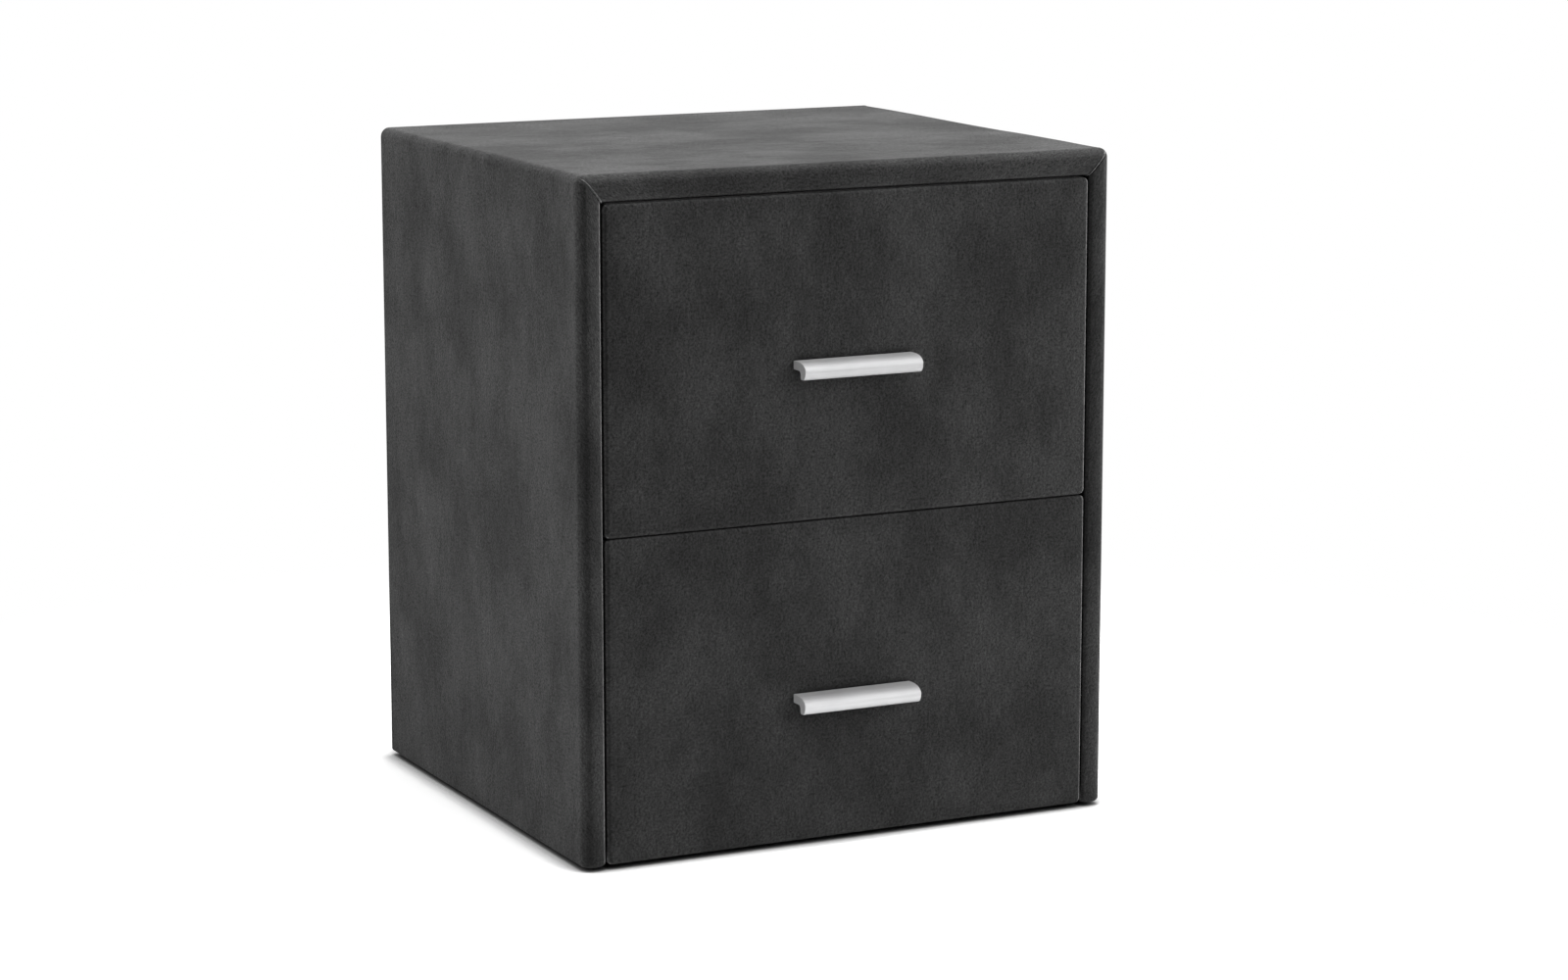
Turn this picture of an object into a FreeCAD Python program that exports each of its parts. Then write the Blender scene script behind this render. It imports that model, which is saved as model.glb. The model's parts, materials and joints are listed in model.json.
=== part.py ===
import FreeCAD, Part
import math
import os

# Nightstand with two drawers: a board carcass and two drawer fronts, all
# padded and covered in velvet, on ball-bearing slides.  Millimetres, +Z up,
# front towards -Y, origin on the floor under the middle of the footprint.

# Overall sizes
WIDTH = 450.0  # over the covers of the two sides
BODY_HEIGHT = 522.0  # side panels, bottom edge to top
BODY_DEPTH = 404.0  # front of the frame to the back
GLIDE_GAP = 3.0  # floor to the bottom edge of the side panels

# Layers
BOARD = 15.0  # carcass and drawer-front boards
BOX_BOARD = 12.0  # drawer-box boards
HARDBOARD = 3.0  # back panel and drawer bottoms
VELVET = 0.8  # cover with its backing
SIDE_FOAM = 2.0  # outside the side boards
TOP_FOAM = 4.0  # on the top board
EDGE_FOAM = 2.0  # over the front edges of the frame
FRONT_FOAM = 2.0  # on the drawer fronts

# Roundings
OUTER_ROUND = 7.5  # padded outer edges of the arch
BACK_ROUND = 3.0  # back and bottom edges of the arch
FOLD_ROUND = 3.0  # folds next to the drawer gaps
CORNER_ROUND = 3.5  # corners of a drawer front, seen from the front
BOARD_ROUND = 5.0  # outer edges of the side boards

# Gaps between the fronts and the frame
FRONT_GAP = 2.0
FRONT_RECESS = 0.5  # drawer fronts behind the front of the frame
BOTTOM_REVEAL = 1.6  # lower front above the bottom edge of the sides
FRONT_CLEARANCE = 2.0  # behind a front, to the bottom board
SLIDE_SETBACK = 8.0  # behind a front, to the front ends of the slides

# Covers, folded in and stapled
FRAME_TURN_IN = 26.0
FRONT_TURN_IN = 20.0
STAPLE_CROWN = 10.0
STAPLE_WIRE = 0.6
STAPLE_LEG = 5.0
STAPLE_FROM_FOLD = 22.5  # on the frame, measured from its front
STAPLE_FROM_EDGE = 5.0  # on a drawer front, measured from its edge
SIDE_STAPLES = 7
RAIL_STAPLES = 7
FRONT_STAPLES_ACROSS = 6
FRONT_STAPLES_UP = 4

# Carcass joints
SCREW_RADIUS = 2.5
SCREW_LENGTH = 50.0
SCREW_HEAD_RADIUS = 4.75
SCREW_HEAD = 2.5
SCREW_INSET = 45.0  # from the ends of a joint
DOWEL_RADIUS = 4.0
DOWEL_LENGTH = 30.0
DOWEL_IN_SIDE = 11.0
DOWEL_INSET = 90.0
GROOVE = 5.0  # depth of the back panel's groove
GROOVE_FIT = 0.2  # play on each side of a panel in its groove
GROOVE_END = 0.5  # play at the bottom of a groove
BACK_PANEL_INSET = 10.0  # back edge of the boards to the back panel

# Nail-on glides under the bottom board
GLIDE_RADIUS = 10.0
GLIDE_ROUND = 1.0
GLIDE_INSET = 45.0
NAIL_RADIUS = 1.2
NAIL_LENGTH = 11.0

# Drawer boxes
BOX_BEHIND = 21.1  # back of a closed box to the back panel
BOX_LIFT = 24.0  # bottom of a front to the bottom of its box
BOX_DROP = 53.9  # top of a front to the top of its box
BOTTOM_LIFT = 12.0  # bottom of the box to its bottom panel
BOX_GROOVE = 5.0
BOX_SCREW_RADIUS = 2.0
BOX_SCREW_LENGTH = 38.0
BOX_SCREW_HEAD_RADIUS = 3.8
BOX_SCREW_HEAD = 2.0
BOX_SCREW_INSET = 24.0  # from the top and bottom of a box
FRONT_SCREW_RADIUS = 2.0
FRONT_SCREW_LENGTH = 24.0
FRONT_SCREW_HEAD_RADIUS = 4.0
FRONT_SCREW_HEAD = 2.2
FRONT_SCREW_INSET = 42.5  # from the ends of the inner front
FRONT_SCREW_Z = 30.0  # from the top and bottom of the inner front

# Ball-bearing slides: a rail on the cabinet, a runner on the drawer and a
# cage of balls that moves half as far as the drawer
SLIDE_SPACE = 12.7  # between the carcass side and the drawer side
SLIDE_HEIGHT = 35.0
STEEL = 1.2
RAIL_SHORT = 2.1  # the rail's flanges end this far from the drawer side
RUNNER_SHORT = 3.4  # the runner's flanges end this far from the carcass side
LIP = 1.2  # height of the lips that keep the balls in
BALL_RADIUS = 2.0
BALL_FIT = 0.05
CAGE = 0.5  # thickness of the cage's sheet
CAGE_OFF = 0.8  # rail's web to the cage, and the cage's play at its stops
CAGE_HOLE_FIT = 0.1
CAGE_RIM = 0.9  # sheet left outside a ball's hole
BALL_PITCH = 12.0
SLIDE_OVERLAP = 84.7  # runner still in its rail when the drawer is out
BUMPER = 5.0  # rubber stop at the back of each rail
BUMPER_GAP = 0.3
STOP_TAB = 4.0  # half height of the bent stop tabs
SLIDE_LIFT = 70.0  # bottom of a box to the middle of its slides
SLIDE_SCREW_RADIUS = 1.8
SLIDE_SCREW_LENGTH = 11.0
SLIDE_SCREW_HEAD_RADIUS = 3.4
SLIDE_SCREW_HEAD = 2.0
SLIDE_SCREW_FRONT = 35.0  # first screw, from the front end of a slide
SLIDE_SCREW_BACK = 50.0  # last screw, from the back end

# Handles: a lipped bar with its flat back on the drawer front
HANDLE_LENGTH = 100.0
HANDLE_DEPTH = 20.5
HANDLE_HEIGHT = 13.0
HANDLE_FLANGE = 6.6  # height of the part next to the front
HANDLE_LIP = 8.5  # thickness of the lip at the nose
HANDLE_BEND = 12.5  # width of the bend from the flat top into the nose
HANDLE_NOSE = 6.0  # top of the handle down to the tip of its nose
HANDLE_CHIN = 4.5  # width of the bend from the nose under the lip
HANDLE_INNER_ROUND = 3.0
HANDLE_LIP_ROUND = 1.5
HANDLE_BACK_ROUND = 1.0
HANDLE_END_ROUND = 0.4
HANDLE_DROP_UPPER = 1.0  # middle of the front down to the top of the handle
HANDLE_DROP_LOWER = 8.5
HANDLE_SCREW_SPACING = 64.0
HANDLE_SCREW_RADIUS = 2.0
HANDLE_SCREW_BITE = 6.0
HANDLE_SCREW_HEAD_RADIUS = 4.0
HANDLE_SCREW_HEAD = 2.5

# What follows from them
HALF = WIDTH / 2
BASE = GLIDE_GAP
TOP = BASE + BODY_HEIGHT
HANDLE_PROUD = HANDLE_DEPTH - FRONT_RECESS
FRONT = HANDLE_PROUD - (BODY_DEPTH + HANDLE_PROUD) / 2
BACK = FRONT + BODY_DEPTH
BOARD_OUT = HALF - VELVET - SIDE_FOAM
BOARD_IN = BOARD_OUT - BOARD
BOARD_FRONT = FRONT + VELVET + EDGE_FOAM
BOARD_BACK = BACK - VELVET
BOARD_BASE = BASE + VELVET
BOARD_TOP = TOP - VELVET - TOP_FOAM
TOP_BOARD_BASE = BOARD_TOP - BOARD
CAVITY_X = BOARD_IN - VELVET
CAVITY_TOP = TOP_BOARD_BASE - VELVET
FRONT_X = CAVITY_X - FRONT_GAP
FRONT_FACE = FRONT + FRONT_RECESS
FRONT_THICK = VELVET + FRONT_FOAM + BOARD + VELVET
FRONT_REAR = FRONT_FACE + FRONT_THICK
FRONT_HEIGHT = (CAVITY_TOP - BASE - BOTTOM_REVEAL - 2 * FRONT_GAP) / 2
FRONT_BASE = {"lower": BASE + BOTTOM_REVEAL}
FRONT_BASE["upper"] = FRONT_BASE["lower"] + FRONT_HEIGHT + FRONT_GAP
HANDLE_DROP = {"upper": HANDLE_DROP_UPPER, "lower": HANDLE_DROP_LOWER}
BOTTOM_BOARD_FRONT = FRONT_REAR + FRONT_CLEARANCE
BOTTOM_BOARD_TOP = BOARD_BASE + BOARD
PANEL_FRONT = BOARD_BACK - BACK_PANEL_INSET - HARDBOARD
BOX_X = BOARD_IN - SLIDE_SPACE
BOX_IN_X = BOX_X - BOX_BOARD
BOX_HEIGHT = FRONT_HEIGHT - BOX_LIFT - BOX_DROP
INNER_FRONT_REAR = FRONT_REAR + BOX_BOARD
BOX_REAR = PANEL_FRONT - BOX_BEHIND
SLIDE_FRONT = FRONT_REAR + SLIDE_SETBACK
RAIL_LENGTH = BOX_REAR - FRONT_REAR
RUNNER_LENGTH = RAIL_LENGTH - BUMPER - BUMPER_GAP
TRAVEL = RUNNER_LENGTH - SLIDE_OVERLAP
CAGE_LENGTH = SLIDE_OVERLAP - 2 * (STEEL + CAGE_OFF)
CAGE_START = STEEL + CAGE_OFF + TRAVEL / 2  # front end of a cage when the drawer is shut
RAIL_DEPTH = SLIDE_SPACE - RAIL_SHORT
FLANGE_IN = SLIDE_HEIGHT / 2 - STEEL
BALL_DEPTH = (RUNNER_SHORT + RAIL_DEPTH) / 2
BALL_LEVEL = FLANGE_IN - BALL_FIT - BALL_RADIUS
RUNNER_HALF = BALL_LEVEL - BALL_RADIUS - BALL_FIT
BALL_HOLE = BALL_RADIUS + CAGE_HOLE_FIT

V = FreeCAD.Vector
SIDES = {"left": -1, "right": 1}


def box(x, y, z):
    """A box between two x, two y and two z values, each pair in either order."""
    (x0, x1), (y0, y1), (z0, z1) = sorted(x), sorted(y), sorted(z)
    return Part.makeBox(x1 - x0, y1 - y0, z1 - z0, V(x0, y0, z0))


def rounded(shape, radius, chosen):
    """The shape with its edges for which chosen(middle, direction) holds rounded."""
    edges = []
    for edge in shape.Edges:
        middle = edge.valueAt((edge.FirstParameter + edge.LastParameter) / 2)
        run = edge.Vertexes[-1].Point - edge.Vertexes[0].Point
        if chosen(middle, run):
            edges.append(edge)
    return shape.makeFillet(radius, edges)


def near(a, b):
    return abs(a - b) < 1e-6


def joined(solids):
    """The solids as one group, each still separate."""
    return Part.makeCompound(solids)


def pin(start, direction, radius, length):
    return Part.makeCylinder(radius, length, start, direction)


def screw(face, direction, radius, length, head_radius, head, sunk):
    """A screw driven into a face point; its head is sunk flush or stands proud."""
    if sunk:
        top = Part.makeCone(head_radius, radius, head, face, direction)
    else:
        top = Part.makeCylinder(head_radius, head, face - direction * head, direction)
    return top.fuse(pin(face, direction, radius, length)).removeSplitter()


def staple(middle, along, into):
    """A wire staple: its crown lies on the cover and its legs run into the board."""
    across = along.cross(into)
    half = STAPLE_CROWN / 2
    wire = STAPLE_WIRE

    def bar(a0, a1, d0, d1):
        corner = middle + along * a0 + into * d0 - across * (wire / 2)
        other = middle + along * a1 + into * d1 + across * (wire / 2)
        return box((corner.x, other.x), (corner.y, other.y), (corner.z, other.z))

    crown = bar(-half, half, -wire, 0)
    legs = [bar(-half, wire - half, 0, STAPLE_LEG), bar(half - wire, half, 0, STAPLE_LEG)]
    return crown.fuse(legs).removeSplitter()


def spread(low, high, count):
    """Evenly spaced places, half a step in from each end."""
    step = (high - low) / count
    return [low + step * (i + 0.5) for i in range(count)]


# Carcass


def arch(inset):
    """The padded arch of two sides and a top, drawn in by inset from its outside."""
    x, y0, y1 = HALF - inset, FRONT + inset, BACK - inset
    z0, z1 = BASE + inset, TOP - inset
    outer = OUTER_ROUND - inset
    small = BACK_ROUND - inset
    fold = FOLD_ROUND - inset
    solid = box((-x, x), (y0, y1), (z0, z1))
    solid = rounded(
        solid,
        outer,
        lambda m, run: (near(m.y, y0) and not near(m.z, z0))
        or (near(abs(m.x), x) and near(m.z, z1)),
    )
    solid = rounded(solid, small, lambda m, run: near(m.y, y1) and not near(m.z, z0))
    solid = rounded(solid, small, lambda m, run: near(m.z, z0))
    cavity_x, cavity_top = CAVITY_X + inset, CAVITY_TOP + inset
    solid = solid.cut(box((-cavity_x, cavity_x), (y0 - 1, y1 + 1), (z0 - 1, cavity_top)))
    return rounded(
        solid,
        fold,
        lambda m, run: near(m.y, y0)
        and ((near(abs(m.x), cavity_x) and abs(run.z) > abs(run.x)) or near(m.z, cavity_top)),
    )


def carcass_cover(padding):
    """Velvet round the arch, folded in behind its front edges, over the edges behind."""
    skin = arch(0).cut(padding)
    inside = (-BOARD_IN, BOARD_IN)
    behind = box(inside, (FRONT + FRAME_TURN_IN, BACK + 1), (BASE - 1, TOP_BOARD_BASE))
    below = box(inside, (BOTTOM_BOARD_FRONT, BACK + 1), (BASE - 1, BOTTOM_BOARD_TOP))
    return skin.cut(behind.fuse(below))


def side_board(side, padding):
    """Side board, eased to the inside of its cover, with a back-panel groove."""
    out, inner = side * BOARD_OUT, side * BOARD_IN
    board = box((out, inner), (BOARD_FRONT, BOARD_BACK), (BOARD_BASE, BOARD_TOP))
    board = rounded(
        board,
        BOARD_ROUND,
        lambda m, run: near(m.x, out) and (near(m.y, BOARD_FRONT) or near(m.z, BOARD_TOP)),
    )
    return board.common(padding).cut(panel_groove())


def top_board(padding):
    y = (BOARD_FRONT, BOARD_BACK)
    board = box((-BOARD_IN, BOARD_IN), y, (TOP_BOARD_BASE, BOARD_TOP))
    return board.common(padding).cut(panel_groove())


def bottom_board():
    y = (BOTTOM_BOARD_FRONT, BOARD_BACK)
    return box((-BOARD_IN, BOARD_IN), y, (BOARD_BASE, BOTTOM_BOARD_TOP)).cut(panel_groove())


def panel_groove():
    """The space that the back panel's groove takes out of the four boards."""
    x = BOARD_IN + GROOVE
    z = (BOTTOM_BOARD_TOP - GROOVE, TOP_BOARD_BASE + GROOVE)
    return box((-x, x), (PANEL_FRONT - GROOVE_FIT, PANEL_FRONT + HARDBOARD + GROOVE_FIT), z)


def back_panel():
    x = BOARD_IN + GROOVE - GROOVE_END
    z = (BOTTOM_BOARD_TOP - GROOVE, TOP_BOARD_BASE + GROOVE - GROOVE_END)
    return box((-x, x), (PANEL_FRONT, PANEL_FRONT + HARDBOARD), z)


def side_foam(side, padding, board):
    """Foam on the outside and over the front edge of a side board."""
    region = box((side * HALF, side * BOARD_IN), (FRONT, BACK), (BASE, BOARD_TOP))
    return padding.common(region).cut(board.fuse(panel_groove()))


def top_foam(padding):
    """Foam on the top board and over its front edge."""
    above = box((-HALF, HALF), (FRONT, BACK), (BOARD_TOP, TOP))
    edge = box((-BOARD_IN, BOARD_IN), (FRONT, BOARD_FRONT), (TOP_BOARD_BASE, BOARD_TOP))
    return padding.common(above.fuse(edge).removeSplitter())


def joint_places(inset, start):
    return (start + inset, BOARD_BACK - inset)


def board_levels():
    """Front end and middle height of the two boards that join the sides."""
    half = BOARD / 2
    return ((BOARD_FRONT, TOP_BOARD_BASE + half), (BOTTOM_BOARD_FRONT, BOARD_BASE + half))


def carcass_screws():
    screws = []
    for side in SIDES.values():
        for start, z in board_levels():
            for y in joint_places(SCREW_INSET, start):
                face = V(side * BOARD_OUT, y, z)
                sizes = (SCREW_RADIUS, SCREW_LENGTH, SCREW_HEAD_RADIUS, SCREW_HEAD)
                screws.append(screw(face, V(-side, 0, 0), *sizes, True))
    return joined(screws)


def carcass_dowels():
    dowels = []
    for side in SIDES.values():
        for start, z in board_levels():
            for y in joint_places(DOWEL_INSET, start):
                end = V(side * (BOARD_IN + DOWEL_IN_SIDE), y, z)
                dowels.append(pin(end, V(-side, 0, 0), DOWEL_RADIUS, DOWEL_LENGTH))
    return joined(dowels)


def frame_staples():
    """Staples in the folded-in cover: up the inside of each side and under the top."""
    y = FRONT + STAPLE_FROM_FOLD
    staples = []
    for side in SIDES.values():
        for z in spread(BOARD_BASE, CAVITY_TOP, SIDE_STAPLES):
            staples.append(staple(V(side * CAVITY_X, y, z), V(0, 0, 1), V(side, 0, 0)))
    for x in spread(-CAVITY_X, CAVITY_X, RAIL_STAPLES):
        staples.append(staple(V(x, y, CAVITY_TOP), V(1, 0, 0), V(0, 0, 1)))
    return joined(staples)


def glides():
    """Four plastic glides nailed up into the bottom board."""
    feet = []
    for x in (GLIDE_INSET - BOARD_IN, BOARD_IN - GLIDE_INSET):
        for y in (BOTTOM_BOARD_FRONT + GLIDE_INSET, BOARD_BACK - GLIDE_INSET):
            disc = pin(V(x, y, 0), V(0, 0, 1), GLIDE_RADIUS, BOARD_BASE)
            disc = rounded(disc, GLIDE_ROUND, lambda m, run: near(m.z, 0))
            nail = pin(V(x, y, BOARD_BASE), V(0, 0, 1), NAIL_RADIUS, NAIL_LENGTH)
            feet.append(disc.fuse(nail))
    return joined(feet)


# Slides, drawn for the right side: u runs from the carcass side to the drawer


def slide_box(u, v, w, side, level):
    """A box in a slide: u from the carcass side, v from its front, w from its middle."""
    x = [side * (BOARD_IN - value) for value in u]
    y = [SLIDE_FRONT + value for value in v]
    z = [level + value for value in w]
    return box(x, y, z)


def both_edges(u, v, w, side, level):
    """The same box near the top and near the bottom of a slide."""
    return [
        slide_box(u, v, w, side, level),
        slide_box(u, v, [-value for value in w], side, level),
    ]


def slide_rail(side, level):
    """Cabinet rail: a channel whose lips turn towards each other, with a front stop."""
    along = (0, RAIL_LENGTH)
    half = SLIDE_HEIGHT / 2
    web = slide_box((0, STEEL), along, (-half, half), side, level)
    flanges = both_edges((0, RAIL_DEPTH), along, (FLANGE_IN, half), side, level)
    lip = (RAIL_DEPTH - STEEL, RAIL_DEPTH)
    lips = both_edges(lip, along, (FLANGE_IN - LIP, FLANGE_IN), side, level)
    tab_reach = STEEL + CAGE_OFF + CAGE
    tab = slide_box((STEEL, tab_reach), (0, STEEL), (-STOP_TAB, STOP_TAB), side, level)
    return web.fuse(flanges + lips + [tab]).removeSplitter()


def slide_runner(side, level):
    """Drawer runner: a narrower channel that faces the rail, with a rear stop."""
    along = (0, RUNNER_LENGTH)
    web_u = (SLIDE_SPACE - STEEL, SLIDE_SPACE)
    web = slide_box(web_u, along, (-RUNNER_HALF, RUNNER_HALF), side, level)
    flange_u = (RUNNER_SHORT, SLIDE_SPACE)
    flanges = both_edges(flange_u, along, (RUNNER_HALF - STEEL, RUNNER_HALF), side, level)
    lip_u = (RUNNER_SHORT, RUNNER_SHORT + STEEL)
    lips = both_edges(lip_u, along, (RUNNER_HALF, RUNNER_HALF + LIP), side, level)
    tab_u = (STEEL + CAGE_OFF, SLIDE_SPACE)
    tab_v = (RUNNER_LENGTH - STEEL, RUNNER_LENGTH)
    tab = slide_box(tab_u, tab_v, (-STOP_TAB, STOP_TAB), side, level)
    return web.fuse(flanges + lips + [tab]).removeSplitter()


def ball_centres(side, level):
    count = int((CAGE_LENGTH - BALL_PITCH) // BALL_PITCH) + 1
    first = (CAGE_LENGTH - BALL_PITCH * (count - 1)) / 2
    x = side * (BOARD_IN - BALL_DEPTH)
    centres = []
    for i in range(count):
        y = SLIDE_FRONT + CAGE_START + first + BALL_PITCH * i
        for z in (level + BALL_LEVEL, level - BALL_LEVEL):
            centres.append(V(x, y, z))
    return centres


def balls(side, level):
    return joined([Part.makeSphere(BALL_RADIUS, centre) for centre in ball_centres(side, level)])


def ball_cage(side, level):
    """Thin channel between rail and runner, with a hole round each ball."""
    along = (CAGE_START, CAGE_START + CAGE_LENGTH)
    u = STEEL + CAGE_OFF
    arm = (BALL_LEVEL - CAGE / 2, BALL_LEVEL + CAGE / 2)
    web = slide_box((u, u + CAGE), along, (-arm[1], arm[1]), side, level)
    reach = BALL_DEPTH + BALL_HOLE + CAGE_RIM
    arms = both_edges((u, reach), along, arm, side, level)
    cage = web.fuse(arms).removeSplitter()
    holes = []
    for centre in ball_centres(side, level):
        start = centre - V(0, 0, CAGE)
        holes.append(pin(start, V(0, 0, 1), BALL_HOLE, 2 * CAGE))
    return cage.cut(joined(holes))


def bumper(side, level):
    """Rubber stop in the back end of a rail, just behind the closed runner."""
    v = (RAIL_LENGTH - BUMPER, RAIL_LENGTH)
    return slide_box((STEEL, RAIL_DEPTH - STEEL), v, (-FLANGE_IN + LIP, FLANGE_IN - LIP), side, level)


def slide_screws(side, level, on_drawer):
    """Screws through a rail into the carcass side, or through a runner into the box."""
    screws = []
    first, last = SLIDE_SCREW_FRONT, RAIL_LENGTH - SLIDE_SCREW_BACK
    for place in (first, (first + last) / 2, last):
        u = SLIDE_SPACE - STEEL if on_drawer else STEEL
        face = V(side * (BOARD_IN - u), SLIDE_FRONT + place, level)
        direction = V(-side if on_drawer else side, 0, 0)
        sizes = (
            SLIDE_SCREW_RADIUS,
            SLIDE_SCREW_LENGTH,
            SLIDE_SCREW_HEAD_RADIUS,
            SLIDE_SCREW_HEAD,
        )
        screws.append(screw(face, direction, *sizes, not on_drawer))
    return screws


# Drawers


def front_block(base, inset):
    """A drawer front with its cover, drawn in by inset from its outside."""
    x = (inset - FRONT_X, FRONT_X - inset)
    y0, y1 = FRONT_FACE + inset, FRONT_REAR - inset
    z = (base + inset, base + FRONT_HEIGHT - inset)
    block = box(x, (y0, y1), z)
    block = rounded(block, CORNER_ROUND - inset, lambda m, run: abs(run.y) > 1)
    return rounded(block, FOLD_ROUND - inset, lambda m, run: near(m.y, y0))


def front_layers(base):
    """Board, foam and velvet cover of a drawer front, from the same block."""
    filling = front_block(base, VELVET)
    split = FRONT_FACE + VELVET + FRONT_FOAM
    z = (base - 1, base + FRONT_HEIGHT + 1)
    foam = filling.common(box((-HALF, HALF), (FRONT_FACE - 1, split), z))
    board = filling.common(box((-HALF, HALF), (split, FRONT_REAR), z))
    rim = FRONT_TURN_IN
    x = FRONT_X - rim
    window = box((-x, x), (split, FRONT_REAR + 1), (base + rim, base + FRONT_HEIGHT - rim))
    cover = front_block(base, 0).cut(filling).cut(window)
    return board, foam, cover


def front_staples(base):
    """Staples in the rim of cover that is folded onto the back of a front."""
    staples = []
    inward = V(0, -1, 0)
    low, high = base + STAPLE_FROM_EDGE, base + FRONT_HEIGHT - STAPLE_FROM_EDGE
    for x in spread(-FRONT_X, FRONT_X, FRONT_STAPLES_ACROSS):
        for z in (low, high):
            staples.append(staple(V(x, FRONT_REAR, z), V(1, 0, 0), inward))
    for z in spread(low, high, FRONT_STAPLES_UP):
        for x in (STAPLE_FROM_EDGE - FRONT_X, FRONT_X - STAPLE_FROM_EDGE):
            staples.append(staple(V(x, FRONT_REAR, z), V(0, 0, 1), inward))
    return joined(staples)


def box_bottom(box_base):
    x = BOX_IN_X + BOX_GROOVE - GROOVE_END
    y0 = INNER_FRONT_REAR - BOX_GROOVE + GROOVE_END
    y1 = BOX_REAR - BOX_BOARD + BOX_GROOVE - GROOVE_END
    z = box_base + BOTTOM_LIFT
    return box((-x, x), (y0, y1), (z, z + HARDBOARD))


def box_groove(box_base):
    """The space that the bottom panel's groove takes out of the four box boards."""
    x = BOX_IN_X + BOX_GROOVE
    y = (INNER_FRONT_REAR - BOX_GROOVE, BOX_REAR - BOX_BOARD + BOX_GROOVE)
    z = box_base + BOTTOM_LIFT
    return box((-x, x), y, (z - GROOVE_FIT, z + HARDBOARD + GROOVE_FIT))


def box_boards(box_base):
    """Inner front, two sides and back of a drawer box, grooved for its bottom."""
    z = (box_base, box_base + BOX_HEIGHT)
    inner_x = (-BOX_IN_X, BOX_IN_X)
    boards = {
        "inner_front": box(inner_x, (FRONT_REAR, INNER_FRONT_REAR), z),
        "box_back": box(inner_x, (BOX_REAR - BOX_BOARD, BOX_REAR), z),
    }
    for name, side in SIDES.items():
        x = (side * BOX_X, side * BOX_IN_X)
        boards[f"box_side_{name}"] = box(x, (FRONT_REAR, BOX_REAR), z)
    groove = box_groove(box_base)
    return {name: board.cut(groove) for name, board in boards.items()}


def box_screws(box_base):
    """Screws through the box sides into the ends of the inner front and the back."""
    screws = []
    for side in SIDES.values():
        for y in (FRONT_REAR + BOX_BOARD / 2, BOX_REAR - BOX_BOARD / 2):
            for z in (box_base + BOX_SCREW_INSET, box_base + BOX_HEIGHT - BOX_SCREW_INSET):
                face = V(side * BOX_X, y, z)
                sizes = (
                    BOX_SCREW_RADIUS,
                    BOX_SCREW_LENGTH,
                    BOX_SCREW_HEAD_RADIUS,
                    BOX_SCREW_HEAD,
                )
                screws.append(screw(face, V(-side, 0, 0), *sizes, True))
    return joined(screws)


def front_screws(box_base):
    """Screws from inside the drawer that hold its front to the inner front."""
    screws = []
    x_end = BOX_IN_X - FRONT_SCREW_INSET
    for x in (-x_end, x_end):
        for z in (box_base + FRONT_SCREW_Z, box_base + BOX_HEIGHT - FRONT_SCREW_Z):
            face = V(x, INNER_FRONT_REAR, z)
            sizes = (
                FRONT_SCREW_RADIUS,
                FRONT_SCREW_LENGTH,
                FRONT_SCREW_HEAD_RADIUS,
                FRONT_SCREW_HEAD,
            )
            screws.append(screw(face, V(0, -1, 0), *sizes, False))
    return joined(screws)


def quarter(start, corner, end):
    """A quarter of an ellipse from start to end, tangent to the lines to the corner."""
    pull = 4 / 3 * (math.sqrt(2) - 1)
    curve = Part.BezierCurve()
    curve.setPoles([start, start + (corner - start) * pull, end + (corner - end) * pull, end])
    return curve.toShape()


def rounded_wire(corners):
    """A closed wire through (point, setback before, setback after) corners, each one rounded."""
    edges = []
    last = None
    for i in range(len(corners) + 1):
        before, (corner, back, ahead) = corners[i - 1][0], corners[i % len(corners)]
        after = corners[(i + 1) % len(corners)][0]
        start = corner + (before - corner).normalize() * back
        end = corner + (after - corner).normalize() * ahead
        if last is not None and last.distanceToPoint(start) > 1e-6:
            edges.append(Part.makeLine(last, start))
        if i < len(corners):
            edges.append(quarter(start, corner, end))
        last = end
    return Part.Wire(edges)


def handle(top):
    """A bar with a flat top, a rounded nose and a lip with a finger gap behind it."""

    def point(out, down):
        return V(-HANDLE_LENGTH / 2, FRONT_FACE - out, top - down)

    inner = HANDLE_DEPTH - HANDLE_LIP
    back = HANDLE_BACK_ROUND
    lip = HANDLE_LIP_ROUND
    fold = HANDLE_INNER_ROUND
    outline = rounded_wire(
        [
            (point(0, 0), back, back),
            (point(HANDLE_DEPTH, 0), HANDLE_BEND, HANDLE_NOSE),
            (point(HANDLE_DEPTH, HANDLE_HEIGHT), HANDLE_HEIGHT - HANDLE_NOSE, HANDLE_CHIN),
            (point(inner, HANDLE_HEIGHT), lip, lip),
            (point(inner, HANDLE_FLANGE), fold, fold),
            (point(0, HANDLE_FLANGE), back, back),
        ]
    )
    bar = Part.Face(outline).extrude(V(HANDLE_LENGTH, 0, 0))
    end = HANDLE_LENGTH / 2
    return rounded(bar, HANDLE_END_ROUND, lambda m, run: near(abs(m.x), end))


def handle_screws(top):
    """Machine screws from inside the drawer through the front into the handle."""
    length = INNER_FRONT_REAR - FRONT_FACE + HANDLE_SCREW_BITE
    screws = []
    for x in (-HANDLE_SCREW_SPACING / 2, HANDLE_SCREW_SPACING / 2):
        face = V(x, INNER_FRONT_REAR, top - HANDLE_FLANGE / 2)
        sizes = (HANDLE_SCREW_RADIUS, length, HANDLE_SCREW_HEAD_RADIUS, HANDLE_SCREW_HEAD)
        screws.append(screw(face, V(0, -1, 0), *sizes, False))
    return joined(screws)


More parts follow.
